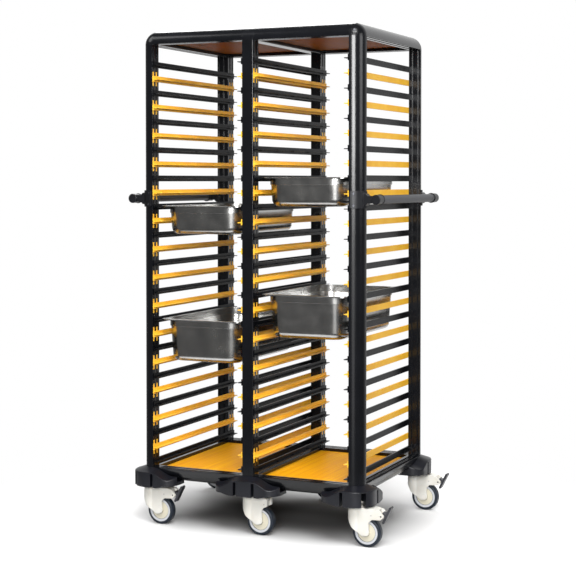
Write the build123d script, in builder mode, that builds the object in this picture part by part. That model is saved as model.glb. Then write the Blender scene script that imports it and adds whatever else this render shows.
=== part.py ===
from build123d import *
from math import cos, radians, sin, sqrt, tan
import os

os.makedirs("parts", exist_ok=True)

# All sizes are millimetres. X runs across the two bays, Y from the front to the back, Z up.
# The origin is on the floor, under the middle of the trolley.

# Overall frame; its width and depth follow from the pans
frame_top = 1740
frame_foot = 156

# Extruded sections: a quarter round for the outside members, a flat box for the centre ones
section = 46
centre_width = 42
centre_edge_radius = 2.5
section_wall = 2.2
groove_width = 9.6
groove_depth = 6
groove_near = 16.5
groove_far = 38

# Panels clipped into the near grooves
panel_clearance = 0.2
panel_rib_pitch = 13
panel_rib_width = 9
panel_rib_height = 0.6

# Tray levels
level_count = 29
level_pitch = 50
lowest_level = 222.8

# Tray runners
web_height = 21
web_thickness = 4.4
ledge_reach = 18
ledge_thickness = 3
ledge_drop = 2
ledge_edge_radius = 1
runner_end_gap = 2
finger_height = 49.4
finger_clearance = 0.2
stud_radius = 2.8
stud_height = 2.5
stud_edge = 1
stud_offset = 7.5
stud_count = 5
stud_pitch = 134

# Wheels and tyres
wheel_radius = 50
tyre_width = 28
tyre_thickness = 10
tyre_shoulder = 7
tyre_gap = 0.03
hub_rim_width = 26
hub_groove_radius = 31.5
hub_groove_width = 1.6
hub_groove_depth = 2
hub_face_width = 22
hub_boss_radius = 12
hub_side_gap = 0.3
axle_radius = 5
axle_clearance = 0.05

# Swivel forks; the stems stand outside the inner corners of the posts
stem_in_x = 18.5
stem_in_y = 23.5
trail = 42
fork_width = 45
cheek_gap = 33
fork_head_radius = 26.5
fork_top = 132
wheel_clearance = 4.5
cheek_end_radius = 13
cheek_boss_radius = 10
cheek_boss_height = 0.8
cheek_dot = (20, 110)
cheek_dot_radius = 2.2
cheek_dot_depth = 1.5
axle_socket_depth = 4
tail_slot_start = 12
tail_slot_width = 27
tail_roof = 6

# Fork outline seen from the side, measured from the wheel centre: x, height and corner radius
fork_front = ((-66, fork_top, 12), (-69, 98, 20), (-50, 67, 14), (-12, 38, 12), (cheek_end_radius, 40, 12),
              (10, 84, 6))
braked_tail = ((22, 96, 6), (52, 97, 4), (65, 107, 5), (50, 127, 8), (30, fork_top, 20))
short_tail = ((16, 97, 5), (31, 103, 3), (31, 128, 3), (22, fork_top, 8))

# Feet whose caster has swung the other way, as the signs of x and y
turned_feet = ((-1, 1),)

# Caster necks and the plugs in the posts
neck_radius = 26
neck_flange_radius = 30
neck_waist_radius = 21
neck_rim_height = 5
neck_running_gap = 0.3
spigot_radius = 8
spigot_length = 16
spigot_clearance = 0.05
stem_radius = 8
stem_length = 40
plug_length = 44
plug_clearance = 0.1

# Brake pedals
pedal_pivot = (54, 109)
pedal_top = (57, 140)
pedal_foot = (85, 84)
pedal_width = 24
pedal_side_gap = 0.4
pedal_thickness = 8
pedal_hub_radius = 8
pedal_hub_gap = 2
pedal_neck = 12
pedal_pin_radius = 3
pedal_pin_length = 6
pedal_pin_clearance = 0.05

# Bumpers
bumper_reach = 36
bumper_wing_length = 98
bumper_centre_start = 25
bumper_inner_line = 10
bumper_corner_radius = 70
bumper_end_radius = 45
bumper_inner_radius = 8
bumper_block_bottom = 137
bumper_wing_bottom = 145
bumper_bottom_start = 30
bumper_bottom_end = 65
bumper_top_slope = 0.35
bumper_wing_drop = 26.4
bumper_wing_fall = 85
bumper_edge = 3
bumper_plate = 4
bumper_slot_top = 185
bumper_slot_width = 11
bumper_slot_line = 12.7
bumper_slot_floor = 4
bumper_corner_slot_width = 18
bumper_centre_slot_line = 34.3
bumper_screw_height = 158
bumper_clearance = 0.2
neck_clearance = 4

# Handles
handle_height = 1152
handle_offset = 44
handle_inset = 14
tube_radius = 14.5
tube_wall = 2
cap_length = 6
cap_plug_length = 12
cap_edge_radius = 2
socket_radius = 16.5
socket_length = 37
collar_radius = 18
collar_length = 4
bracket_start = 6
bracket_sweep = 78
bracket_corner_radius = 6
bracket_height = 58
bracket_thickness = 5
arm_height = 24
arm_depth = 30
arm_root_height = 40
arm_flare = 8
bracket_clearance = 0.1
bracket_screw_angles = (24, 70)
bracket_screw_drop = 20
screw_head_radius = 4.5
screw_head_height = 3
screw_recess = 2.5
screw_clearance = 0.2
ball_screw_turn = 66
ball_screw_rise = 24

# Gastronorm 1/1 pans: name, bay side, level counted from the top, depth
pan_length = 530
pan_width = 325
pan_wall = 1
pan_rim_width = 13.5
pan_rim_radius = 30
pan_lip_height = 4.5
pan_body_radius = 60
pan_collar_height = 26
pan_collar_draft = 1
pan_step = 3
pan_draft = 4
pan_bottom_radius = 25
pan_edge_radius = 2
pan_side_gap = 8.6
pan_front_gap = 21
pan_rear_gap = 85
pan_seat_gap = 0.1
pan_places = (("pan_left_upper", -1, 10, 100), ("pan_left_lower", -1, 18, 150),
              ("pan_right_upper", 1, 8, 100), ("pan_right_lower", 1, 16, 150))

# Places worked out from the sizes above
bay_width = pan_width + 2 * (web_thickness + pan_side_gap)
frame_width = 2 * (section + bay_width) + centre_width
frame_depth = pan_front_gap + pan_length + pan_rear_gap
inner_x = frame_width / 2 - section
inner_y = frame_depth / 2 - section
rail_bottom = frame_top - section
deck_rail_top = frame_foot + section
centre_half = centre_width / 2
highest_level = lowest_level + level_pitch * (level_count - 1)
bay_centre = (inner_x + centre_half) / 2
core_inset = groove_depth + section_wall
stem_spread = inner_x + stem_in_x
stem_line = inner_y + stem_in_y
bumper_outer = section + bumper_reach
handle_line = frame_width / 2 + handle_offset
handle_end = frame_depth / 2 - handle_inset
socket_end = handle_end - cap_length


def quarter_plane(corner, side_a, side_b, run):
    """A section plane at an inner corner: local x and y point outwards, the normal runs along the member."""
    if Vector(*side_a).cross(Vector(*side_b)).dot(Vector(*run)) > 0:
        return Plane(origin=corner, x_dir=side_a, z_dir=run)
    return Plane(origin=corner, x_dir=side_b, z_dir=run)


def box_plane(origin, outward, run):
    """A section plane on an inner face: local y points outwards and the normal runs along the member."""
    return Plane(origin=origin, x_dir=Vector(*outward).cross(Vector(*run)), z_dir=run)


def quarter_disc(radius, inset=0.0, mode=Mode.ADD):
    """A quarter disc about the local origin, with its two flats moved in by the inset."""
    reach = sqrt(radius**2 - inset**2)
    middle = radius / sqrt(2)
    with BuildLine() as outline:
        Line((inset, inset), (reach, inset))
        ThreePointArc((reach, inset), (middle, middle), (inset, reach))
        Line((inset, reach), (inset, inset))
    make_face(outline.edges(), mode=mode)


def quarter_member(plane, length):
    """A length of the quarter-round extrusion: hollow, with two grooves on each flat face."""
    with BuildPart() as member:
        with BuildSketch(plane):
            quarter_disc(section)
            for centre in (groove_near, groove_far):
                with Locations((centre, groove_depth / 2)):
                    Rectangle(groove_width, groove_depth, mode=Mode.SUBTRACT)
                with Locations((groove_depth / 2, centre)):
                    Rectangle(groove_depth, groove_width, mode=Mode.SUBTRACT)
            quarter_disc(section - section_wall, core_inset, Mode.SUBTRACT)
        extrude(amount=length)
    return member.part


def centre_member(plane, length):
    """A length of the flat extrusion of the middle: hollow, with two grooves on each side."""
    groove_middle = centre_half - groove_depth / 2
    with BuildPart() as member:
        with BuildSketch(plane):
            with Locations((0, section / 2)):
                RectangleRounded(centre_width, section, centre_edge_radius)
            for centre in (groove_near, groove_far):
                with Locations((groove_middle, centre), (-groove_middle, centre)):
                    Rectangle(groove_depth, groove_width, mode=Mode.SUBTRACT)
            with Locations((0, section / 2)):
                Rectangle(centre_width - 2 * core_inset, section - 2 * section_wall, mode=Mode.SUBTRACT)
        extrude(amount=length)
    return member.part


def group(pieces):
    """Several separate solids as one node."""
    with BuildPart() as joined:
        add(pieces)
    return joined.part


def four_corners(piece):
    """The right rear piece and its mirror images at the other three corners."""
    right = [piece, piece.mirror(Plane.XZ)]
    return right + [copy.mirror(Plane.YZ) for copy in right]


def two_sides(piece, plane):
    """A piece and its mirror image."""
    return [piece, piece.mirror(plane)]


def write(piece, name):
    """Label a finished piece and write it as its own file."""
    piece.label = name
    export_step(piece, f"parts/{name}.step")


# Upright posts
def corner_post(sx, sy):
    corner = (sx * inner_x, sy * inner_y, frame_foot)
    return quarter_member(quarter_plane(corner, (sx, 0, 0), (0, sy, 0), (0, 0, 1)), rail_bottom - frame_foot)


def centre_post(sy):
    origin = (0, sy * inner_y, frame_foot)
    return centre_member(box_plane(origin, (0, sy, 0), (0, 0, 1)), rail_bottom - frame_foot)


# Rails of the top frame and the bottom frame; up is 1 for the top frame and -1 for the bottom one
def long_rails(height, up):
    corner = (centre_half, inner_y, height)
    right_rear = quarter_member(quarter_plane(corner, (0, 1, 0), (0, 0, up), (1, 0, 0)), bay_width)
    return group(four_corners(right_rear))


def side_rails(height, up):
    corner = (inner_x, -inner_y, height)
    right = quarter_member(quarter_plane(corner, (1, 0, 0), (0, 0, up), (0, 1, 0)), 2 * inner_y)
    return group(two_sides(right, Plane.YZ))


def centre_rail(height, up):
    return centre_member(box_plane((0, -inner_y, height), (0, 0, up), (0, 1, 0)), 2 * inner_y)


# Screws stand in round recesses; a seat is the plane on the surface, with its normal outwards
def ball_screw_seat():
    """The screw place on the right rear ball corner."""
    turn = radians(ball_screw_turn)
    rise = radians(ball_screw_rise)
    outward = Vector(cos(rise) * cos(turn), cos(rise) * sin(turn), sin(rise))
    origin = Vector(inner_x, inner_y, rail_bottom) + outward * section
    return Plane(origin=origin, z_dir=outward)


def bracket_screw_seats():
    """The four screw places on the right rear handle bracket."""
    seats = []
    for angle in bracket_screw_angles:
        outward = Vector(cos(radians(angle)), sin(radians(angle)), 0)
        for drop in (-bracket_screw_drop, bracket_screw_drop):
            origin = Vector(inner_x, inner_y, handle_height + drop)
            origin += outward * (section + bracket_clearance + bracket_thickness)
            seats.append(Plane(origin=origin, z_dir=outward))
    return seats


def corner_slot_seat():
    """The screw place in the side slot of the right rear bumper, measured from the inner corner."""
    floor = section + bumper_slot_floor
    return Plane(origin=(floor, -bumper_slot_line, bumper_screw_height), z_dir=(1, 0, 0))


def centre_slot_seat():
    """The screw place in the left slot of the rear centre bumper, measured from the middle of its post."""
    floor = section + bumper_slot_floor
    return Plane(origin=(-bumper_centre_slot_line, floor, bumper_screw_height), z_dir=(0, 1, 0))


def cut_recess(seat):
    """A round flat-bottomed recess at a screw seat, cut from the part being built."""
    with BuildSketch(seat.offset(-screw_recess)) as opening:
        Circle(screw_head_radius + screw_clearance)
    extrude(opening.sketch, amount=2 * screw_recess, mode=Mode.SUBTRACT)


def screw_head(seat):
    """A round screw head with a hexagon socket, on the floor of its recess."""
    with BuildPart() as head:
        with BuildSketch(seat.offset(-screw_recess)):
            Circle(screw_head_radius)
        extrude(amount=screw_head_height)
        chamfer(head.edges().filter_by(GeomType.CIRCLE).sort_by(
            lambda edge: (edge.center() - seat.origin).dot(seat.z_dir))[-1], screw_head_radius / 6)
        with BuildSketch(seat.offset(screw_head_height - screw_recess)):
            RegularPolygon(screw_head_radius / 2, 6)
        extrude(amount=-screw_head_height / 2, mode=Mode.SUBTRACT)
    return head.part


# Ball corners and the connectors above the centre posts
def ball_corner():
    with BuildPart() as ball:
        with BuildSketch(Plane(origin=(inner_x, inner_y, rail_bottom), x_dir=(1, 0, 0), z_dir=(0, -1, 0))):
            quarter_disc(section)
        revolve(axis=Axis((inner_x, inner_y, 0), (0, 0, 1)), revolution_arc=90)
        cut_recess(ball_screw_seat())
    return ball.part


def top_connector():
    corner = (-centre_half, inner_y, rail_bottom)
    with BuildPart() as connector:
        with BuildSketch(quarter_plane(corner, (0, 1, 0), (0, 0, 1), (1, 0, 0))):
            quarter_disc(section)
        extrude(amount=centre_width)
    return connector.part


# Panels: a sheet with its edges in the near grooves, and low ribs along Y on both faces
def bay_panel(side, seat_height):
    thickness = groove_width - 2 * panel_clearance
    tongue = groove_depth - 2 * panel_clearance
    depth = 2 * inner_y
    rib_count = int((bay_width - panel_rib_pitch) // panel_rib_pitch)
    rib_heights = (seat_height - panel_rib_height / 2, seat_height + thickness + panel_rib_height / 2)
    with BuildPart() as panel:
        with BuildSketch(Plane.XY.offset(seat_height)):
            with Locations((side * bay_centre, 0)):
                Rectangle(bay_width + 2 * tongue, depth)
                Rectangle(bay_width, depth + 2 * tongue)
        extrude(amount=thickness)
        with Locations([(side * bay_centre, 0, height) for height in rib_heights]):
            with GridLocations(panel_rib_pitch, 0, rib_count, 1):
                Box(panel_rib_width, depth - panel_rib_pitch, panel_rib_height)
    return panel.part


# Tray runners
def runner():
    """A runner on a wall at x = 0: the ledge points to +X and the fingers sit in the grooves behind it."""
    half_length = frame_depth / 2 - runner_end_gap
    finger_width = groove_width - 2 * finger_clearance
    finger_depth = groove_depth - 2 * finger_clearance
    finger_lines = [sy * (inner_y + groove) for sy in (-1, 1) for groove in (groove_near, groove_far)]
    with BuildPart() as piece:
        with BuildSketch(Plane.XZ.offset(-half_length)):
            with Locations((web_thickness / 2, 0)):
                Rectangle(web_thickness, web_height)
            with Locations((ledge_reach / 2, -ledge_drop)):
                Rectangle(ledge_reach, ledge_thickness)
        extrude(amount=2 * half_length)
        fillet(piece.edges().filter_by(Axis.Y).group_by(Axis.X)[-1], ledge_edge_radius)
        with Locations([(-finger_depth / 2, line, 0) for line in finger_lines]):
            Box(finger_depth, finger_width, finger_height)
        with Locations((stud_offset, 0, -ledge_drop)):
            with GridLocations(0, stud_pitch, 1, stud_count):
                Cylinder(stud_radius, ledge_thickness + 2 * stud_height)
        rims = piece.edges().filter_by(GeomType.CIRCLE).group_by(Axis.Z)
        chamfer(rims[0] + rims[-1], stud_edge)
    return piece.part


def runner_set(piece, side, first):
    """Every other level of one bay, on both of its walls, counted from the top."""
    low_wall = side * bay_centre - bay_width / 2
    high_wall = side * bay_centre + bay_width / 2
    places = []
    for level in range(first, level_count, 2):
        height = highest_level - level_pitch * level
        places.append(Location((low_wall, 0, height)))
        places.append(Location((high_wall, 0, height), (0, 0, 180)))
    with BuildPart() as rows:
        with Locations(*places):
            add(piece)
    return rows.part


# Casters, built with the stem on the Z axis and the wheel trailing towards +X
def fork(braked):
    outline = fork_front + (braked_tail if braked else short_tail)
    points = [(x + trail, z) for x, z, _ in outline]
    with BuildPart() as piece:
        with BuildSketch(Plane.XZ.offset(-fork_head_radius)):
            with BuildLine():
                FilletPolyline(*points, radius=[rounding for _, _, rounding in outline], close=True)
            make_face()
        extrude(amount=2 * fork_head_radius)
        with BuildSketch():
            Circle(fork_head_radius)
            with Locations((2 * trail, 0)):
                Rectangle(4 * trail, fork_width)
        extrude(amount=2 * fork_top, mode=Mode.INTERSECT)
        with BuildSketch(Plane.XZ.offset(-cheek_gap / 2)):
            with Locations((trail, wheel_radius)):
                Circle(wheel_radius + wheel_clearance)
        extrude(amount=cheek_gap, mode=Mode.SUBTRACT)
        boss_line = (fork_width + cheek_boss_height) / 2
        for face in (-1, 1):
            with Locations(Location((trail, face * boss_line, wheel_radius), (90, 0, 0))):
                Cylinder(cheek_boss_radius, cheek_boss_height)
            dot_place = (trail + cheek_dot[0], face * (fork_width - cheek_dot_depth) / 2, cheek_dot[1])
            with Locations(Location(dot_place, (90, 0, 0))):
                Cylinder(cheek_dot_radius, cheek_dot_depth, mode=Mode.SUBTRACT)
        with Locations(Location((trail, 0, wheel_radius), (90, 0, 0))):
            Cylinder(axle_radius + axle_clearance, cheek_gap + 2 * axle_socket_depth, mode=Mode.SUBTRACT)
        socket_depth = spigot_length + neck_running_gap
        with Locations((0, 0, fork_top)):
            Cylinder(spigot_radius + spigot_clearance, 2 * socket_depth, mode=Mode.SUBTRACT)
        if braked:
            slot_start = trail + pedal_pivot[0] - pedal_hub_radius - pedal_hub_gap
            with BuildSketch():
                with Locations((slot_start + trail, 0)):
                    Rectangle(2 * trail, pedal_width + 2 * pedal_side_gap)
            extrude(amount=2 * fork_top, mode=Mode.SUBTRACT)
            with Locations(Location((trail + pedal_pivot[0], 0, pedal_pivot[1]), (90, 0, 0))):
                Cylinder(pedal_pin_radius + pedal_pin_clearance, fork_width, mode=Mode.SUBTRACT)
        else:
            with BuildSketch():
                with Locations((tail_slot_start + 2 * trail, 0)):
                    Rectangle(2 * trail, tail_slot_width)
            extrude(amount=fork_top - tail_roof, mode=Mode.SUBTRACT)
    return piece.part


def brake_pedal():
    """A rocker plate on a hub in the fork tail, with a pin stub at each side."""
    pivot = Vector(pedal_pivot[0] + trail, pedal_pivot[1])
    top = Vector(pedal_top[0] + trail, pedal_top[1])
    foot = Vector(pedal_foot[0] + trail, pedal_foot[1])
    lean = Vector(1, 0).get_signed_angle(foot - top)
    along = (foot - top).normalized()
    nearest = top + along * (pivot - top).dot(along)
    neck_middle = (pivot + nearest) / 2
    with BuildPart() as pedal:
        with BuildSketch(Plane.XZ.offset(-pedal_width / 2)):
            with Locations(pivot):
                Circle(pedal_hub_radius)
            with Locations((top + foot) / 2):
                SlotOverall((foot - top).length, pedal_thickness, rotation=lean)
            with Locations(neck_middle):
                Rectangle(pedal_neck, (nearest - pivot).length, rotation=lean)
        extrude(amount=pedal_width)
        with Locations(Location((pivot.X, 0, pivot.Y), (90, 0, 0))):
            Cylinder(pedal_pin_radius, pedal_width + 2 * pedal_pin_length)
    return pedal.part


def wheel_hub():
    """The wheel centre, turned about the Z axis: boss, face, shadow groove and rim."""
    bore = axle_radius + axle_clearance
    rim = wheel_radius - tyre_thickness - tyre_gap
    boss_half = cheek_gap / 2 - hub_side_gap
    face_half = hub_face_width / 2
    groove_in = hub_groove_radius - hub_groove_width / 2
    groove_out = hub_groove_radius + hub_groove_width / 2
    profile = [(bore, boss_half), (hub_boss_radius, boss_half),
               (hub_boss_radius, face_half), (groove_in, face_half),
               (groove_in, face_half - hub_groove_depth), (groove_out, face_half - hub_groove_depth),
               (groove_out, hub_rim_width / 2), (rim, hub_rim_width / 2)]
    mirrored = [(x, -z) for x, z in reversed(profile)]
    with BuildPart() as hub:
        with BuildSketch(Plane.XZ):
            with BuildLine():
                Polyline(*profile, *mirrored, close=True)
            make_face()
        revolve(axis=Axis.Z)
    return hub.part


def tyre():
    """The tread ring, turned about the Z axis, with round shoulders."""
    middle = wheel_radius - tyre_thickness / 2
    with BuildPart() as ring:
        with BuildSketch(Plane.XZ):
            with Locations((middle, 0)):
                outline = Rectangle(tyre_thickness, tyre_width)
            fillet(outline.vertices().group_by(Axis.X)[-1], tyre_shoulder)
        revolve(axis=Axis.Z)
    return ring.part


def axle():
    with BuildPart() as pin:
        Cylinder(axle_radius, cheek_gap + 2 * axle_socket_depth - 2 * axle_clearance)
    return pin.part


def neck():
    """The swivel head: spigot for the fork, race ring, waist, top ring and the stem in the post."""
    base = fork_top + neck_running_gap
    seat = frame_foot - bumper_plate
    tip = frame_foot + stem_length
    profile = [(0, base - spigot_length), (spigot_radius, base - spigot_length), (spigot_radius, base),
               (neck_radius, base), (neck_radius, base + neck_rim_height),
               (neck_waist_radius, base + neck_rim_height), (neck_waist_radius, seat - neck_rim_height),
               (neck_flange_radius, seat - neck_rim_height), (neck_flange_radius, seat),
               (stem_radius, seat), (stem_radius, tip), (0, tip)]
    with BuildPart() as head:
        with BuildSketch(Plane.XZ):
            with BuildLine():
                Polyline(*profile, close=True)
            make_face()
        revolve(axis=Axis.Z)
    return head.part


def caster_place(sx, sy, piece, wheel=False):
    """A caster piece moved to its foot; wheel pieces turn from the Z axis to the Y axis."""
    turn = 180 if (sx, sy) in turned_feet else 0
    foot = Location((sx * stem_spread, sy * stem_line, 0), (0, 0, turn))
    if wheel:
        foot = foot * Location((trail, 0, wheel_radius), (90, 0, 0))
    return piece.moved(foot)


# Plugs that hold the stems in the hollow posts
def corner_plug():
    with BuildPart() as plug:
        with BuildSketch(Plane(origin=(inner_x, inner_y, frame_foot))):
            quarter_disc(section - section_wall - plug_clearance, core_inset + plug_clearance)
        extrude(amount=plug_length)
        with Locations((stem_spread, stem_line, frame_foot)):
            Cylinder(stem_radius + spigot_clearance, 2 * (stem_length + plug_clearance), mode=Mode.SUBTRACT)
    return plug.part


def centre_plug():
    width = centre_width - 2 * (core_inset + plug_clearance)
    depth = section - 2 * (section_wall + plug_clearance)
    with BuildPart() as plug:
        with BuildSketch(Plane.XY.offset(frame_foot)):
            with Locations((0, inner_y + section / 2)):
                Rectangle(width, depth)
        extrude(amount=plug_length)
        with Locations((0, stem_line, frame_foot)):
            Cylinder(stem_radius + spigot_clearance, 2 * (stem_length + plug_clearance), mode=Mode.SUBTRACT)
    return plug.part


# Bumpers, built with the inner corner or the middle of the post on the Z axis
def bumper_block(points, rounds):
    """A block with this outline in plan, from the underside of the bumper to the top of the bottom rails."""
    with BuildSketch(Plane.XY.offset(bumper_block_bottom)) as plan:
        with BuildLine() as outline:
            FilletPolyline(*points, radius=rounds, close=True)
        make_face(outline.edges())
    extrude(plan.sketch, amount=deck_rail_top - bumper_block_bottom)


def cut_wing(along, outward, start):
    """Slope the top of a wing outwards and down to its tip, and lift its underside off the fork."""
    high = deck_rail_top + bumper_top_slope * section
    low = high - bumper_wing_drop
    side = Plane(origin=(0, 0, 0), x_dir=along, z_dir=outward)
    falls = Vector(*outward) - Vector(0, 0, bumper_top_slope)
    end = start + 2 * bumper_wing_length
    with BuildSketch(side) as above:
        with BuildLine() as outline:
            rise = side.to_local_coords(Vector(0, 0, 1)).Y
            Line((-bumper_inner_line, rise * high), (start, rise * high))
            Spline((start, rise * high), (start + bumper_wing_fall, rise * low), tangents=((1, 0), (1, 0)))
            Polyline((start + bumper_wing_fall, rise * low), (end, rise * low), (end, rise * 2 * high),
                     (-bumper_inner_line, rise * 2 * high), (-bumper_inner_line, rise * high))
        make_face(outline.edges())
    extrude(above.sketch, amount=2 * bumper_outer, dir=falls, mode=Mode.SUBTRACT)
    with BuildSketch(side) as below:
        with BuildLine() as outline:
            Polyline((start + bumper_bottom_start, rise * bumper_block_bottom),
                     (start + bumper_bottom_end, rise * bumper_wing_bottom), (end, rise * bumper_wing_bottom),
                     (end, 0), (start + bumper_bottom_start, 0), close=True)
        make_face(outline.edges())
    extrude(below.sketch, amount=2 * bumper_outer, both=True, mode=Mode.SUBTRACT)


def cut_corner_top():
    """Slope the top of the corner block outwards all round the post."""
    far = 2 * bumper_outer
    with BuildSketch(Plane(origin=(0, 0, 0), x_dir=(1, 0, 0), z_dir=(0, -1, 0))) as above:
        with BuildLine() as outline:
            Polyline((section, deck_rail_top), (far, deck_rail_top - bumper_top_slope * (far - section)),
                     (far, 2 * deck_rail_top), (section, 2 * deck_rail_top), close=True)
        make_face(outline.edges())
    revolve(above.sketch, axis=Axis.Z, revolution_arc=90, mode=Mode.SUBTRACT)


def top_outer_edges(piece, rail_normals):
    """The edges between the sloping top and the outer sides, away from the rails with these normals."""
    tops = [face for face in piece.faces() if face.normal_at(face.center()).Z > 0.5]
    edges = [edge for edge in piece.edges() if sum(edge in face.edges() for face in tops) == 1]
    low = [edge for edge in edges if edge.center().Z < deck_rail_top - bumper_edge]
    for way in rail_normals:
        low = [edge for edge in low if abs(edge.center().dot(Vector(*way))) > bumper_edge]
    return low


def cut_rail(plane, run):
    """Room for a bottom rail and for everything above and inside it; local x points outwards."""
    reach = section + bumper_clearance
    with BuildSketch(plane) as room:
        with Locations((-bumper_outer, -section)):
            Rectangle(bumper_outer, section, align=(Align.MIN, Align.MIN))
        with Locations((-bumper_outer, 0)):
            Rectangle(bumper_outer + reach, section, align=(Align.MIN, Align.MIN))
        with BuildLine():
            Line((0, 0), (reach, 0))
            CenterArc((0, 0), reach, 0, -90)
            Line((0, -reach), (0, 0))
        make_face()
    extrude(room.sketch, amount=run, mode=Mode.SUBTRACT)


def cut_neck(x, y):
    """Room for the swivel head under the base plate, and the stem hole through it."""
    with Locations((x, y, 0)):
        Cylinder(neck_flange_radius + neck_clearance, 2 * (frame_foot - bumper_plate), mode=Mode.SUBTRACT)
        Cylinder(stem_radius + spigot_clearance, 2 * frame_foot, mode=Mode.SUBTRACT)


def cut_slot(place, turn, width):
    """An upright slot through the outer wall, open below, that starts at this place."""
    with BuildSketch(Plane.XY.offset(bumper_slot_top)) as slot:
        with Locations(Location((*place, 0), (0, 0, turn))):
            Rectangle(2 * bumper_outer, width, align=(Align.MIN, Align.CENTER))
    extrude(slot.sketch, amount=-bumper_slot_top, mode=Mode.SUBTRACT)


def corner_bumper():
    """The right rear bumper, moved to its corner."""
    near = -bumper_inner_line
    tip = -bumper_wing_length
    points = [(bumper_outer, bumper_outer), (tip, bumper_outer), (tip, near), (near, near), (near, tip),
              (bumper_outer, tip)]
    rounds = [bumper_corner_radius, bumper_end_radius] + [bumper_inner_radius] * 3 + [bumper_end_radius]
    with BuildPart() as bumper:
        bumper_block(points, rounds)
        cut_wing((-1, 0, 0), (0, 1, 0), 0)
        cut_wing((0, -1, 0), (1, 0, 0), 0)
        cut_corner_top()
        fillet(top_outer_edges(bumper, [(1, 0, 0), (0, 1, 0)]), bumper_edge)
        with BuildSketch(Plane.XY.offset(frame_foot)):
            quarter_disc(section + bumper_clearance)
        extrude(amount=section * 2, mode=Mode.SUBTRACT)
        rail_line = (0, 0, deck_rail_top)
        cut_rail(Plane(origin=rail_line, x_dir=(0, 1, 0), z_dir=(-1, 0, 0)), 2 * bumper_wing_length)
        cut_rail(Plane(origin=rail_line, x_dir=(1, 0, 0), z_dir=(0, -1, 0)), 2 * bumper_wing_length)
        cut_neck(stem_in_x, stem_in_y)
        cut_slot((-bumper_slot_line, stem_in_y), 90, bumper_slot_width)
        cut_slot((stem_in_y, stem_in_y), 45, bumper_corner_slot_width)
        cut_slot((section + bumper_slot_floor, -bumper_slot_line), 0, bumper_slot_width)
        cut_recess(corner_slot_seat())
    return bumper.part.moved(Location((inner_x, inner_y, 0)))


def centre_bumper():
    """The rear centre bumper, moved to its post."""
    near = -bumper_inner_line
    tip = bumper_centre_start + bumper_wing_length
    points = [(tip, bumper_outer), (-tip, bumper_outer), (-tip, near), (tip, near)]
    with BuildPart() as bumper:
        bumper_block(points, [bumper_end_radius] * 2 + [bumper_inner_radius] * 2)
        cut_wing((-1, 0, 0), (0, 1, 0), bumper_centre_start)
        cut_wing((1, 0, 0), (0, 1, 0), bumper_centre_start)
        fillet(top_outer_edges(bumper, [(0, 1, 0)]), bumper_edge)
        cut_rail(Plane(origin=(2 * bumper_outer, 0, deck_rail_top), x_dir=(0, 1, 0), z_dir=(-1, 0, 0)),
                 4 * bumper_outer)
        with BuildSketch(Plane.XY.offset(frame_foot)):
            with Locations((0, section / 2)):
                Rectangle(centre_width + 2 * bumper_clearance, section + 2 * bumper_clearance)
        extrude(amount=section * 2, mode=Mode.SUBTRACT)
        cut_neck(0, stem_in_y)
        cut_slot((bumper_centre_slot_line, stem_in_y), 90, bumper_slot_width)
        cut_slot((-bumper_centre_slot_line, section + bumper_slot_floor), 90, bumper_slot_width)
        cut_recess(centre_slot_seat())
    return bumper.part.moved(Location((0, inner_y, 0)))


# Handles
def handle_tube():
    with BuildPart() as tube:
        with BuildSketch(Plane.XZ.offset(-socket_end)):
            with Locations((handle_line, handle_height)):
                Circle(tube_radius)
                Circle(tube_radius - tube_wall, mode=Mode.SUBTRACT)
        extrude(amount=2 * socket_end)
    return tube.part


def handle_cap():
    """The rear end cap of the right handle: a round plug with a low head."""
    with BuildPart() as cap:
        with Locations(Location((handle_line, socket_end + cap_length / 2, handle_height), (90, 0, 0))):
            Cylinder(socket_radius, cap_length)
        fillet(cap.edges().group_by(Axis.Y)[-1], cap_edge_radius)
        with Locations(Location((handle_line, socket_end - cap_plug_length / 2, handle_height), (90, 0, 0))):
            Cylinder(tube_radius - tube_wall - axle_clearance, cap_plug_length)
    return cap.part


def handle_bracket():
    """The rear bracket of the right handle: a curved plate on the post, a flared arm and a tube socket."""
    inner = section + bracket_clearance
    outer = inner + bracket_thickness
    socket_start = socket_end - socket_length
    arm_profile = [(inner_x, arm_root_height / 2), (inner_x + outer, arm_root_height / 2),
                   (inner_x + outer + arm_flare, arm_height / 2), (handle_line, arm_height / 2)]
    arm_points = [(x, handle_height + z) for x, z in arm_profile]
    arm_points += [(x, handle_height - z) for x, z in reversed(arm_profile)]
    with BuildPart() as bracket:
        with BuildSketch(Plane(origin=(inner_x, inner_y, handle_height), x_dir=(1, 0, 0), z_dir=(0, -1, 0))):
            with Locations((inner + bracket_thickness / 2, 0)):
                Rectangle(bracket_thickness, bracket_height)
        revolve(axis=Axis((inner_x, inner_y, 0), (0, 0, 1)), revolution_arc=bracket_sweep)
        plate = bracket.part.rotate(Axis((inner_x, inner_y, 0), (0, 0, 1)), bracket_start)
        add(bracket.part, mode=Mode.SUBTRACT)
        add(plate)
        corner_edges = [edge for edge in bracket.edges() if edge.length < bracket_thickness + 0.01]
        fillet(corner_edges, bracket_corner_radius)
        with BuildSketch(Plane.XZ.offset(-socket_end)):
            with BuildLine():
                Polyline(*arm_points, close=True)
            make_face()
        extrude(amount=arm_depth)
        with Locations(Location((handle_line, socket_end - socket_length / 2, handle_height), (90, 0, 0))):
            Cylinder(socket_radius, socket_length)
        with Locations(Location((handle_line, socket_start + collar_length / 2, handle_height), (90, 0, 0))):
            Cylinder(collar_radius, collar_length)
        with Locations(Location((handle_line, socket_end, handle_height), (90, 0, 0))):
            Cylinder(tube_radius + bracket_clearance, 4 * socket_length, mode=Mode.SUBTRACT)
        with Locations((inner_x, inner_y, handle_height)):
            Cylinder(inner, 2 * bracket_height, mode=Mode.SUBTRACT)
        for seat in bracket_screw_seats():
            cut_recess(seat)
    return bracket.part


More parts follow.
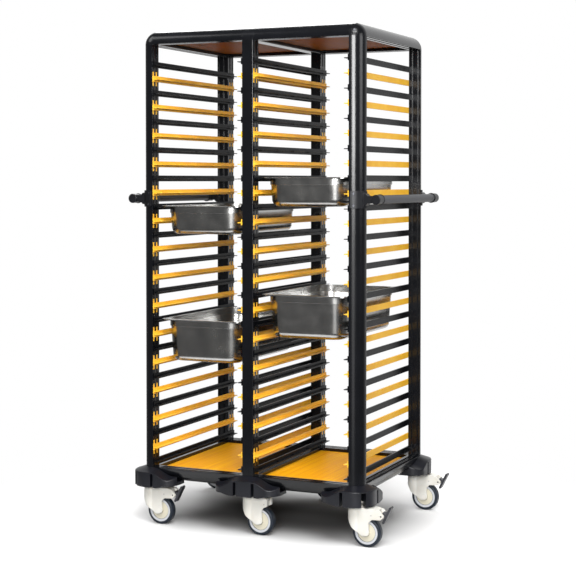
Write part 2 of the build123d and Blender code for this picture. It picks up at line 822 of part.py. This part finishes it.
# Gastronorm pans, built with the bottom of the lip at the height zero
def pan_shell(depth, inset):
    """The body of a pan as a solid, from the rim top down, moved in from the outside by the inset."""
    top = pan_lip_height
    step_at = top - pan_collar_height + inset
    step_in = pan_step + pan_collar_height * tan(radians(pan_collar_draft))
    width = pan_width - 2 * pan_rim_width - 2 * inset
    length = pan_length - 2 * pan_rim_width - 2 * inset
    corner = pan_body_radius - inset
    with BuildPart() as shell:
        with BuildSketch(Plane(origin=(0, 0, step_at), x_dir=(1, 0, 0), z_dir=(0, 0, -1))):
            RectangleRounded(width - 2 * step_in, length - 2 * step_in, corner - step_in)
        extrude(amount=depth - pan_collar_height, taper=pan_draft)
        fillet(shell.faces().sort_by(Axis.Z)[0].edges(), pan_bottom_radius - inset)
        with BuildSketch(Plane(origin=(0, 0, top), x_dir=(1, 0, 0), z_dir=(0, 0, -1))):
            RectangleRounded(width, length, corner)
        extrude(amount=top - step_at, taper=pan_collar_draft)
    return shell.part


def pan(depth):
    with BuildPart() as body:
        with BuildSketch():
            RectangleRounded(pan_width, pan_length, pan_rim_radius)
        extrude(amount=pan_lip_height)
        fillet(body.faces().sort_by(Axis.Z)[-1].edges(), pan_edge_radius)
        with BuildSketch():
            RectangleRounded(pan_width - 2 * pan_wall, pan_length - 2 * pan_wall, pan_rim_radius - pan_wall)
        extrude(amount=pan_lip_height - pan_wall, mode=Mode.SUBTRACT)
        add(pan_shell(depth, 0))
        add(pan_shell(depth, pan_wall), mode=Mode.SUBTRACT)
    return body.part


# The frame
for sx, x_name in ((-1, "left"), (1, "right")):
    for sy, y_name in ((-1, "front"), (1, "rear")):
        write(corner_post(sx, sy), f"post_{y_name}_{x_name}")
for sy, y_name in ((-1, "front"), (1, "rear")):
    write(centre_post(sy), f"post_{y_name}_centre")
for place, height, up in (("top", rail_bottom, 1), ("bottom", deck_rail_top, -1)):
    write(long_rails(height, up), f"{place}_rails_long")
    write(side_rails(height, up), f"{place}_rails_side")
    write(centre_rail(height, up), f"{place}_rail_centre")
write(group(four_corners(ball_corner())), "top_corners")
write(group(two_sides(top_connector(), Plane.XZ)), "top_connectors")
top_seat = rail_bottom + groove_near - groove_width / 2 + panel_clearance
deck_seat = deck_rail_top - groove_near - groove_width / 2 + panel_clearance
write(group([bay_panel(side, top_seat) for side in (-1, 1)]), "top_panels")
write(group([bay_panel(side, deck_seat) for side in (-1, 1)]), "decks")

# The tray runners: one colour on every other level
one_runner = runner()
for first, colour in ((0, "black"), (1, "yellow")):
    for side, x_name in ((-1, "left"), (1, "right")):
        write(runner_set(one_runner, side, first), f"runners_{colour}_{x_name}")

# The casters
forks = {0: fork(False), 1: fork(True)}
pedal = brake_pedal()
hub = wheel_hub()
tread = tyre()
pin = axle()
head = neck()
for sx, x_name in ((-1, "left"), (0, "centre"), (1, "right")):
    for sy, y_name in ((-1, "front"), (1, "rear")):
        write(caster_place(sx, sy, forks[abs(sx)]), f"caster_fork_{y_name}_{x_name}")
        write(caster_place(sx, sy, hub, True), f"wheel_hub_{y_name}_{x_name}")
        write(caster_place(sx, sy, tread, True), f"tyre_{y_name}_{x_name}")
        write(caster_place(sx, sy, pin, True), f"axle_{y_name}_{x_name}")
        if sx:
            write(caster_place(sx, sy, pedal), f"brake_pedal_{y_name}_{x_name}")
write(group([caster_place(sx, sy, head) for sx in (-1, 0, 1) for sy in (-1, 1)]), "caster_necks")
write(group(four_corners(corner_plug()) + two_sides(centre_plug(), Plane.XZ)), "post_plugs")

# The bumpers
write(group(four_corners(corner_bumper())), "corner_bumpers")
write(group(two_sides(centre_bumper(), Plane.XZ)), "centre_bumpers")

# The handles and the screws
write(group(two_sides(handle_tube(), Plane.YZ)), "handle_tubes")
write(group(four_corners(handle_bracket())), "handle_brackets")
write(group(four_corners(handle_cap())), "handle_caps")
corner_screws = [screw_head(seat) for seat in [ball_screw_seat()] + bracket_screw_seats()]
corner_screws.append(screw_head(corner_slot_seat()).moved(Location((inner_x, inner_y, 0))))
centre_screw = screw_head(centre_slot_seat()).moved(Location((0, inner_y, 0)))
screws = [copy for screw in corner_screws for copy in four_corners(screw)]
write(group(screws + two_sides(centre_screw, Plane.XZ)), "screws")

# The pans, resting on the ledges of their levels
for name, side, level, depth in pan_places:
    seat = highest_level - level_pitch * level - ledge_drop + ledge_thickness / 2 + pan_seat_gap
    middle = pan_length / 2 - frame_depth / 2 + pan_front_gap
    write(pan(depth).moved(Location((side * bay_centre, middle, seat))), name)
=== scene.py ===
import bpy
import math
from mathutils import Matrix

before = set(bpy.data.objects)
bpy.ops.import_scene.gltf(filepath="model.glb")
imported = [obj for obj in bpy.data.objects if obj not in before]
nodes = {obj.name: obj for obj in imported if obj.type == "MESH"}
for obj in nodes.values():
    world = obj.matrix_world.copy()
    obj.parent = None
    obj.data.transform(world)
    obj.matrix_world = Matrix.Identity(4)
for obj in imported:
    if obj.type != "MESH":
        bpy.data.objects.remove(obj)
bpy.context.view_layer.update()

mm = 0.001
noiseSpan = (0.3, 0.7)      # where most of a noise texture's values lie
recessSpan = (0.25, 0.75)   # how open a spot is: the painted shade of a recess is darkest at the first and gone at the second


# small helpers
def toLinear(hexColour, alpha=1.0):  # sRGB hex to Blender's linear colour
    channels = [int(hexColour.lstrip("#")[i:i + 2], 16) / 255 for i in (0, 2, 4)]
    return [c / 12.92 if c <= 0.04045 else ((c + 0.055) / 1.055) ** 2.4 for c in channels] + [alpha]


def addNode(tree, kind, inputs=None, **settings):  # one node, its settings, and its inputs as values or links
    node = tree.nodes.new(kind)
    for key, value in settings.items():
        setattr(node, key, value)
    for key, value in (inputs or {}).items():
        if isinstance(value, bpy.types.NodeSocket):
            tree.links.new(value, node.inputs[key])
        else:
            node.inputs[key].default_value = value
    return node


def perMm(size):  # texture scale that gives a feature of this size in millimetres
    return 1 / (size * mm)


def newMaterial(name):  # an empty node material with its shader, its output and its object coordinates
    material = bpy.data.materials.new(name)
    material.use_nodes = True
    tree = material.node_tree
    tree.nodes.clear()
    shader = addNode(tree, "ShaderNodeBsdfPrincipled")
    addNode(tree, "ShaderNodeOutputMaterial", {"Surface": shader.outputs["BSDF"]})
    coords = addNode(tree, "ShaderNodeTexCoord").outputs["Object"]
    return material, tree, shader, coords


# Coordinates drawn out along one axis, for marks that run with the work
def stretched(tree, coords, along, ratio):
    scale = [1.0, 1.0, 1.0]
    scale["XYZ".index(along)] = ratio
    return addNode(tree, "ShaderNodeMapping", {"Vector": coords, "Scale": scale}).outputs["Vector"]


def varied(tree, factor, low, high):  # a factor of 0 to 1 as a number between two values
    spread = addNode(tree, "ShaderNodeMapRange", {"Value": factor, "To Min": low, "To Max": high,
                                                  "From Min": noiseSpan[0], "From Max": noiseSpan[1]})
    return spread.outputs["Result"]


# A colour that goes from one hex value to another
def tinted(tree, factor, dark, light, start=noiseSpan[0], end=noiseSpan[1]):
    ramp = addNode(tree, "ShaderNodeValToRGB", {"Fac": factor})
    ramp.color_ramp.elements[0].position = start
    ramp.color_ramp.elements[0].color = toLinear(dark)
    ramp.color_ramp.elements[1].position = end
    ramp.color_ramp.elements[1].color = toLinear(light)
    return ramp.outputs["Color"]


# Painted shade: the colour darkens in grooves and recesses of this reach, in millimetres
def shaded(tree, colour, reach, depth):
    bare = addNode(tree, "ShaderNodeAmbientOcclusion", {"Distance": reach * mm}, samples=8).outputs["AO"]
    # painted shade: the colour is scaled down where little sky is open
    paintedShade = addNode(tree, "ShaderNodeMapRange", {"Value": bare, "To Min": 1 - depth, "From Min": recessSpan[0],
                                                "From Max": recessSpan[1]}).outputs["Result"]
    return addNode(tree, "ShaderNodeVectorMath", {0: colour, "Scale": paintedShade}, operation="SCALE").outputs[0]


def softEdges(tree, radius):  # the small round that every real edge has, in millimetres
    return addNode(tree, "ShaderNodeBevel", {"Radius": radius * mm}, samples=6).outputs["Normal"]


def noise(tree, coords, size, detail):  # noise with features of this size in millimetres
    texture = addNode(tree, "ShaderNodeTexNoise", {"Vector": coords, "Scale": perMm(size), "Detail": detail})
    return texture.outputs["Fac"]


# Relief over softened edges: its height texture, its strength, and its depth and edge round in millimetres
def relief(tree, shader, height, strength, depth, edge):
    bump = addNode(tree, "ShaderNodeBump", {"Height": height, "Strength": strength, "Distance": depth * mm,
                                            "Normal": softEdges(tree, edge)})
    tree.links.new(bump.outputs["Normal"], shader.inputs["Normal"])


def paint(names, material):  # gives a material to CAD nodes
    for name in names:
        for slot in nodes[name].material_slots:
            slot.material = material


# the frame: black anodised aluminium extrusions
extrusion = {
    "dark": "#0A0B0E", "light": "#0F1014",
    "roughness": (0.16, 0.24),
    "sheen": 0.42,
    "dieLine": 0.9,        # mm across one drawing line of the die
    "stretch": 0.004,      # how much longer than wide a line is, as a scale along it
    "clouds": 90,          # mm across one cloud of the anodising
    "relief": 0.12,
    "depth": 0.05,         # mm from the top to the bottom of a line
    "edge": 0.7,           # mm, rounded arris
}


# Anodised aluminium, extruded: faint die lines run with the profile and stretch its highlights
def anodisedAluminium(along):
    material, tree, shader, coords = newMaterial("blackAnodisedExtrusion" + along)
    lines = noise(tree, stretched(tree, coords, along, extrusion["stretch"]), extrusion["dieLine"], 2.0)
    clouds = noise(tree, coords, extrusion["clouds"], 3.0)
    shader.inputs["Specular IOR Level"].default_value = extrusion["sheen"]
    tree.links.new(tinted(tree, clouds, extrusion["dark"], extrusion["light"]), shader.inputs["Base Color"])
    tree.links.new(varied(tree, lines, *extrusion["roughness"]), shader.inputs["Roughness"])
    relief(tree, shader, lines, extrusion["relief"], extrusion["depth"], extrusion["edge"])
    return material


feet = [y + "_" + x for y in ("front", "rear") for x in ("left", "centre", "right")]
paint(["post_" + foot for foot in feet], anodisedAluminium("Z"))
paint(["top_rails_long", "bottom_rails_long"], anodisedAluminium("X"))
paint([end + "_" + rail for end in ("top", "bottom") for rail in ("rails_side", "rail_centre")],
      anodisedAluminium("Y"))
print("frame extrusions finished")


# moulded plastics
mouldClouds = 60        # mm across one cloud of uneven colour
mouldDepth = 0.1        # mm, depth of the grain
glowReach = (2 * mm, 1.6 * mm, 1.2 * mm)    # how far red, green and blue light travel under the surface
recessDepth = 0.75      # how dark the painted shade in a recess gets


# Injection moulded plastic: an even colour with a fine spark-eroded grain and softened edges, and painted shade
# in recesses where the look gives a reach for it
def mouldedPlastic(name, look):
    material, tree, shader, coords = newMaterial(name)
    grain = noise(tree, coords, look["grain"], 3.0)
    clouds = noise(tree, coords, mouldClouds, 2.0)
    shader.inputs["Specular IOR Level"].default_value = look["sheen"]
    shader.inputs["Subsurface Weight"].default_value = look.get("glow", 0.0)
    shader.inputs["Subsurface Radius"].default_value = glowReach
    shader.inputs["Subsurface Scale"].default_value = 1.0
    colour = tinted(tree, clouds, look["dark"], look["light"])
    # painted shade in recesses, for the looks that give its reach
    if "recess" in look:
        colour = shaded(tree, colour, look["recess"], recessDepth)
    tree.links.new(colour, shader.inputs["Base Color"])
    tree.links.new(varied(tree, grain, *look["roughness"]), shader.inputs["Roughness"])
    relief(tree, shader, grain, look["relief"], mouldDepth, look["edge"])
    return material


cornerNylon = {"dark": "#0A0B0E", "light": "#0F1014", "roughness": (0.18, 0.26), "sheen": 0.42,
               "grain": 1.2, "relief": 0.06, "edge": 0.8}
bumperNylon = {"dark": "#0C0D12", "light": "#13141B", "roughness": (0.32, 0.42), "sheen": 0.36,
               "grain": 1.4, "relief": 0.25, "edge": 2.0}
runnerBlack = {"dark": "#060709", "light": "#0B0C0F", "roughness": (0.24, 0.34), "sheen": 0.08,
               "grain": 1.2, "relief": 0.15, "edge": 0.6}
runnerYellow = {"dark": "#F8B830", "light": "#FFC63E", "roughness": (0.36, 0.46), "sheen": 0.20,
                "grain": 1.2, "relief": 0.15, "edge": 0.6, "glow": 0.10}
bracketNylon = {"dark": "#0F1013", "light": "#16171B", "roughness": (0.32, 0.44), "sheen": 0.36,
                "grain": 1.1, "relief": 0.30, "edge": 1.0}
capPlastic = {"dark": "#0E0F12", "light": "#15161A", "roughness": (0.30, 0.42), "sheen": 0.36,
              "grain": 1.0, "relief": 0.20, "edge": 0.6}
# the white fork nylon carries painted shade in its recesses
forkNylon = {"dark": "#D6D3CA", "light": "#E1DFD8", "roughness": (0.28, 0.40), "sheen": 0.50,
             "grain": 1.5, "relief": 0.12, "edge": 1.2, "glow": 0.10, "recess": 4.0}
pedalNylon = {"dark": "#232428", "light": "#303138", "roughness": (0.30, 0.42), "sheen": 0.50,
              "grain": 1.0, "relief": 0.35, "edge": 0.8}
plugPlastic = {"dark": "#101114", "light": "#18191D", "roughness": (0.45, 0.55), "sheen": 0.40,
               "grain": 1.2, "relief": 0.25, "edge": 0.5}

bays = ("left", "right")
paint(["top_corners", "top_connectors"], mouldedPlastic("smoothBlackNylon", cornerNylon))
paint(["corner_bumpers", "centre_bumpers"], mouldedPlastic("grainedBumperNylon", bumperNylon))
paint(["runners_black_" + x for x in bays], mouldedPlastic("blackRunnerPlastic", runnerBlack))
paint(["runners_yellow_" + x for x in bays], mouldedPlastic("yellowRunnerPlastic", runnerYellow))
paint(["handle_brackets"], mouldedPlastic("blackBracketNylon", bracketNylon))
paint(["handle_caps"], mouldedPlastic("blackCapPlastic", capPlastic))
paint(["post_plugs"], mouldedPlastic("plugPlastic", plugPlastic))
forks = ["caster_fork_" + foot for foot in feet]
paint(["caster_necks", *forks], mouldedPlastic("whiteCasterNylon", forkNylon))
braked = [foot for foot in feet if "centre" not in foot]
paint(["brake_pedal_" + foot for foot in braked], mouldedPlastic("darkPedalNylon", pedalNylon))

wheelNylon = {
    "rim": "#C2C4C8", "face": "#D2CCB8", "roughness": (0.32, 0.44),
    "step": 0.394, "blend": 0.01,           # radius where the rim's colour starts, and how softly, by the width
    "recess": 3.0, "recessDepth": 0.85,     # mm, reach of the painted shade in the groove, and how dark it gets
    "grain": 1.5, "relief": 0.1, "edge": 0.8,
}


# Nylon, injection moulded: a white rim round a creamier face, as the thick middle cools more slowly, with
# painted shade in its groove and recesses
def mouldedHub():
    material, tree, shader, coords = newMaterial("creamWheelNylon")
    spread = addNode(tree, "ShaderNodeTexCoord").outputs["Generated"]
    middle = (0.5, 0.5, 0.5)
    away = addNode(tree, "ShaderNodeVectorMath", {0: spread, 1: middle}, operation="SUBTRACT").outputs[0]
    flat = addNode(tree, "ShaderNodeVectorMath", {0: away, 1: (1, 0, 1)}, operation="MULTIPLY").outputs[0]
    radius = addNode(tree, "ShaderNodeVectorMath", {0: flat}, operation="LENGTH").outputs["Value"]
    step, blend = wheelNylon["step"], wheelNylon["blend"]
    grain = noise(tree, coords, wheelNylon["grain"], 3.0)
    colour = tinted(tree, radius, wheelNylon["face"], wheelNylon["rim"], step - blend, step + blend)
    # painted shade darkens the groove and recesses of the hub
    colour = shaded(tree, colour, wheelNylon["recess"], wheelNylon["recessDepth"])
    tree.links.new(colour, shader.inputs["Base Color"])
    tree.links.new(varied(tree, grain, *wheelNylon["roughness"]), shader.inputs["Roughness"])
    relief(tree, shader, grain, wheelNylon["relief"], mouldDepth, wheelNylon["edge"])
    return material


paint(["wheel_hub_" + foot for foot in feet], mouldedHub())
print("moulded plastics finished")

# the ribbed panels of polypropylene sheet: yellow decks, and top panels of the same sheet coloured darker amber
# as painted shade on their undersides
deckSheet = {"dark": "#EC9A08", "light": "#FFC01E"}
# painted shade: the top panels' yellow is darkened to amber for their shaded undersides
topSheetPaintedShade = {"dark": "#B8640A", "light": "#CE7A10"}
sheetFinish = {"roughness": (0.42, 0.55), "sheen": 0.06, "drawLine": 4.0, "stretch": 0.01,
               "relief": 0.2, "depth": 0.1, "edge": 0.8}


# Polypropylene, extruded as ribbed sheet: dull ribs with fine draw lines from front to back
def ribbedSheet(name, look):
    material, tree, shader, coords = newMaterial(name)
    lines = noise(tree, stretched(tree, coords, "Y", sheetFinish["stretch"]), sheetFinish["drawLine"], 3.0)
    shader.inputs["Specular IOR Level"].default_value = sheetFinish["sheen"]
    tree.links.new(tinted(tree, lines, look["dark"], look["light"]), shader.inputs["Base Color"])
    tree.links.new(varied(tree, lines, *sheetFinish["roughness"]), shader.inputs["Roughness"])
    relief(tree, shader, lines, sheetFinish["relief"], sheetFinish["depth"], sheetFinish["edge"])
    return material


paint(["decks"], ribbedSheet("yellowRibbedSheet", deckSheet))
paint(["top_panels"], ribbedSheet("ribbedSheetPaintedShade", topSheetPaintedShade))
print("panels finished")

# tyres: grey thermoplastic rubber
tread = {"dark": "#191E26", "light": "#232A34", "roughness": (0.34, 0.46), "sheen": 0.22,
         "grain": 1.0, "scuff": 18, "relief": 0.3, "depth": 0.1, "edge": 0.5}


# Thermoplastic rubber, moulded: soft and dull, with a fine matt grain that hides scuffs
def greyRubber():
    material, tree, shader, coords = newMaterial("greyTreadRubber")
    grain = noise(tree, coords, tread["grain"], 4.0)
    scuffs = noise(tree, coords, tread["scuff"], 5.0)
    shader.inputs["Specular IOR Level"].default_value = tread["sheen"]
    tree.links.new(tinted(tree, scuffs, tread["dark"], tread["light"]), shader.inputs["Base Color"])
    tree.links.new(varied(tree, grain, *tread["roughness"]), shader.inputs["Roughness"])
    relief(tree, shader, grain, tread["relief"], tread["depth"], tread["edge"])
    return material


paint(["tyre_" + foot for foot in feet], greyRubber())

# metals
tubeFinish = {"dark": "#3E3F42", "light": "#5B5C60", "roughness": (0.42, 0.55), "metal": 0.6,
              "groove": 1.3, "stretch": 0.004, "relief": 0.6, "depth": 0.3}
panSteel = {"dark": "#A8A8A7", "light": "#BAB9B6", "roughness": (0.20, 0.28), "grainPull": 0.3, "smudge": 55,
            "drawMark": 9.6, "flatten": 8.0, "relief": 0.15, "depth": 0.1, "edge": 0.8}
screwSteel = {"colour": "#45464A", "roughness": (0.30, 0.42)}
axleZinc = {"colour": "#B4B7BA", "roughness": (0.25, 0.38)}
turning = {"ring": 0.8, "edge": 0.4}        # mm across one tool ring, and the round of the edges


# Anodised aluminium, extruded and ribbed: fine grip grooves along the tube catch thin lines of light
def groovedTube():
    material, tree, shader, coords = newMaterial("greyGroovedTube")
    grooves = noise(tree, stretched(tree, coords, "Y", tubeFinish["stretch"]), tubeFinish["groove"], 1.0)
    shader.inputs["Metallic"].default_value = tubeFinish["metal"]
    colour = tinted(tree, grooves, tubeFinish["dark"], tubeFinish["light"])
    tree.links.new(colour, shader.inputs["Base Color"])
    tree.links.new(varied(tree, grooves, *tubeFinish["roughness"]), shader.inputs["Roughness"])
    bump = addNode(tree, "ShaderNodeBump", {"Height": grooves, "Strength": tubeFinish["relief"],
                                            "Distance": tubeFinish["depth"] * mm})
    tree.links.new(bump.outputs["Normal"], shader.inputs["Normal"])
    return material


# Stainless steel sheet, deep drawn: satin, with faint drawing marks round the walls and hand smudges
def satinSteel():
    material, tree, shader, coords = newMaterial("satinStainlessSheet")
    marks = noise(tree, stretched(tree, coords, "Z", panSteel["flatten"]), panSteel["drawMark"], 4.0)
    smudges = noise(tree, coords, panSteel["smudge"], 4.0)
    shader.inputs["Metallic"].default_value = 1.0
    shader.inputs["Anisotropic"].default_value = panSteel["grainPull"]
    tree.links.new(tinted(tree, smudges, panSteel["dark"], panSteel["light"]), shader.inputs["Base Color"])
    tree.links.new(varied(tree, smudges, *panSteel["roughness"]), shader.inputs["Roughness"])
    relief(tree, shader, marks, panSteel["relief"], panSteel["depth"], panSteel["edge"])
    return material


def turnedSteel(name, look):  # Steel, turned and plated: bright with fine tool rings
    material, tree, shader, coords = newMaterial(name)
    rings = noise(tree, coords, turning["ring"], 2.0)
    shader.inputs["Metallic"].default_value = 1.0
    shader.inputs["Base Color"].default_value = toLinear(look["colour"])
    tree.links.new(varied(tree, rings, *look["roughness"]), shader.inputs["Roughness"])
    tree.links.new(softEdges(tree, turning["edge"]), shader.inputs["Normal"])
    return material


paint(["handle_tubes"], groovedTube())
paint([name for name in nodes if name.startswith("pan_")], satinSteel())
paint(["screws"], turnedSteel("brightScrewSteel", screwSteel))
paint(["axle_" + foot for foot in feet], turnedSteel("zincPlatedSteel", axleZinc))
print("rubber and metals finished")

# studio: a white sweep, a white backdrop and soft boxes in an otherwise dim room
studio = {
    "floorColour": "#F9F9F9", "floorReach": 1.3,
    "floorFade": (0.85, 1.25),               # the sweep runs out into the backdrop between these distances
    "floorBounce": "#343434",               # what the floor gives back to the underside of the trolley
    "paintedShadowCore": (0.22, 0.06), "paintedShadowTone": "#585858",    # half the size of the darkest field of the painted shadow on the sweep, and its colour
    "paintedShadowEdge": 0.44,                     # over this distance the painted shadow goes back to the colour of the sweep
    "roomLow": 0.02, "roomHigh": 1.00,      # light of the room at the horizon and overhead
    "roomStart": 0.40, "roomEnd": 0.90,     # between these heights of the sky it grows
    "behindCamera": 0.12,                   # how bright the room there is in reflections; the backdrop is 1
    "mirrorStart": 0.4, "mirrorEnd": 0.9,   # between these directions, from side to backdrop, it grows
    "key": {"power": 390, "width": 2.7, "height": 1.8, "place": (2.3, -6.0, 2.15), "aim": (0.0, 0.0, 1.6)},
    "apron": {"power": 18, "width": 2.2, "height": 2.0, "place": (2.3, -6.0, 0.2), "aim": (0.0, 0.0, 0.9)},
    "top": {"power": 230, "width": 2.4, "height": 2.4, "place": (1.9, -3.0, 4.6), "aim": (0.0, 0.0, 0.6)},
    "side": {"power": 50, "width": 2.2, "height": 2.0, "place": (5.2, -0.7, 2.3), "aim": (0.0, 0.0, 1.2)},
    "fill": {"power": 50, "width": 2.0, "height": 2.6, "place": (-3.2, -1.8, 4.2), "aim": (0.0, 0.0, 0.8)},
    "rear": {"power": 110, "width": 2.0, "height": 2.6, "place": (-1.8, 3.2, 4.4), "aim": (0.0, 0.0, 0.8)},
}


def paleFloor():  # a matt white sweep with a painted shadow under the trolley, which also keeps the cast shadow and runs out into the white backdrop
    half = studio["floorReach"]
    mesh = bpy.data.meshes.new("floor")
    corners = [(-half, -half, 0), (half, -half, 0), (half, half, 0), (-half, half, 0)]
    mesh.from_pydata(corners, [], [(0, 1, 2, 3)])
    floor = bpy.data.objects.new("floor", mesh)
    bpy.context.scene.collection.objects.link(floor)
    material = bpy.data.materials.new("mattWhiteSweep")
    material.use_nodes = True
    tree = material.node_tree
    tree.nodes.clear()
    rays = addNode(tree, "ShaderNodeLightPath").outputs
    spot = addNode(tree, "ShaderNodeTexCoord").outputs["Object"]
    # painted shadow: the sweep's colour darkens towards a field under the trolley
    away = addNode(tree, "ShaderNodeVectorMath", {0: spot}, operation="ABSOLUTE").outputs[0]
    core = (*studio["paintedShadowCore"], 0)
    away = addNode(tree, "ShaderNodeVectorMath", {0: away, 1: core}, operation="SUBTRACT").outputs[0]
    away = addNode(tree, "ShaderNodeVectorMath", {0: away, 1: (0, 0, 0)}, operation="MAXIMUM").outputs[0]
    away = addNode(tree, "ShaderNodeVectorMath", {0: away}, operation="LENGTH").outputs["Value"]
    clearOfPaintedShadow = addNode(tree, "ShaderNodeMapRange", {"Value": away, "From Max": studio["paintedShadowEdge"]},
                  interpolation_type="SMOOTHSTEP").outputs["Result"]
    tone = addNode(tree, "ShaderNodeMix", {0: clearOfPaintedShadow, 6: toLinear(studio["paintedShadowTone"]),
                                           7: toLinear(studio["floorColour"])}, data_type="RGBA").outputs[2]
    tone = addNode(tree, "ShaderNodeMix", {0: rays["Is Diffuse Ray"], 6: tone,
                                           7: toLinear(studio["floorBounce"])}, data_type="RGBA").outputs[2]
    matt = addNode(tree, "ShaderNodeBsdfDiffuse", {"Color": tone}).outputs[0]
    reach = addNode(tree, "ShaderNodeVectorMath", {0: spot}, operation="LENGTH").outputs["Value"]
    gone = addNode(tree, "ShaderNodeMapRange", {"Value": reach, "From Min": studio["floorFade"][0],
                                                "From Max": studio["floorFade"][1]}).outputs["Result"]
    clear = addNode(tree, "ShaderNodeBsdfTransparent").outputs[0]
    both = addNode(tree, "ShaderNodeMixShader", {0: gone, 1: matt, 2: clear}).outputs[0]
    addNode(tree, "ShaderNodeOutputMaterial", {"Surface": both})
    mesh.materials.append(material)


# White behind the trolley and in its metals, dim behind the camera, and brightest overhead as light
def whiteRoom():
    world = bpy.data.worlds.new("whiteRoom")
    bpy.context.scene.world = world
    world.use_nodes = True
    tree = world.node_tree
    tree.nodes.clear()
    rays = addNode(tree, "ShaderNodeLightPath").outputs
    direction = addNode(tree, "ShaderNodeTexCoord").outputs["Generated"]
    way = addNode(tree, "ShaderNodeSeparateXYZ", {0: direction}).outputs
    light = addNode(tree, "ShaderNodeMapRange", {
        "Value": way["Z"], "From Min": studio["roomStart"], "From Max": studio["roomEnd"],
        "To Min": studio["roomLow"], "To Max": studio["roomHigh"]}).outputs["Result"]
    mirrored = addNode(tree, "ShaderNodeMapRange", {"Value": way["Y"], "From Min": studio["mirrorStart"],
                                                    "From Max": studio["mirrorEnd"],
                                                    "To Min": studio["behindCamera"]}).outputs["Result"]
    seen = addNode(tree, "ShaderNodeMath", {0: rays["Is Camera Ray"], 1: rays["Is Transmission Ray"]},
                   operation="MAXIMUM").outputs[0]
    shown = addNode(tree, "ShaderNodeMix", {0: rays["Is Glossy Ray"], 2: light, 3: mirrored}).outputs[0]
    shown = addNode(tree, "ShaderNodeMix", {0: seen, 2: shown, 3: 1.0}).outputs[0]
    sky = addNode(tree, "ShaderNodeBackground", {"Color": (1, 1, 1, 1), "Strength": shown})
    addNode(tree, "ShaderNodeOutputWorld", {"Surface": sky.outputs[0]})


def softBox(name, look):  # a soft box that looks at the trolley
    light = bpy.data.lights.new(name, "AREA")
    light.shape = "RECTANGLE"
    light.energy = look["power"]
    light.size = look["width"]
    light.size_y = look["height"]
    lamp = bpy.data.objects.new(name, light)
    bpy.context.scene.collection.objects.link(lamp)
    lamp.location = look["place"]
    x, y, z = [a - b for a, b in zip(look["aim"], look["place"])]
    lamp.rotation_euler = (math.atan2(math.hypot(x, y), -z), 0, math.atan2(y, x) - math.pi / 2)


paleFloor()
whiteRoom()
for lampName in ("key", "apron", "top", "side", "fill", "rear"):
    softBox(lampName + "SoftBox", studio[lampName])

# camera
lens = {"focal": 88.95, "sensor": 36.0, "shiftY": -0.1255,
        "place": (2.1335, -4.6815, 1.2169), "turn": (88.566, 0.0, 24.422)}
cameraData = bpy.data.cameras.new("studioCamera")
cameraData.sensor_width = lens["sensor"]
cameraData.lens = lens["focal"]
cameraData.shift_y = lens["shiftY"]
camera = bpy.data.objects.new("studioCamera", cameraData)
bpy.context.scene.collection.objects.link(camera)
camera.location = lens["place"]
camera.rotation_euler = [math.radians(angle) for angle in lens["turn"]]
bpy.context.scene.camera = camera
bpy.context.scene.view_settings.view_transform = "Standard"
print("studio and camera set")

bpy.context.view_layer.update()
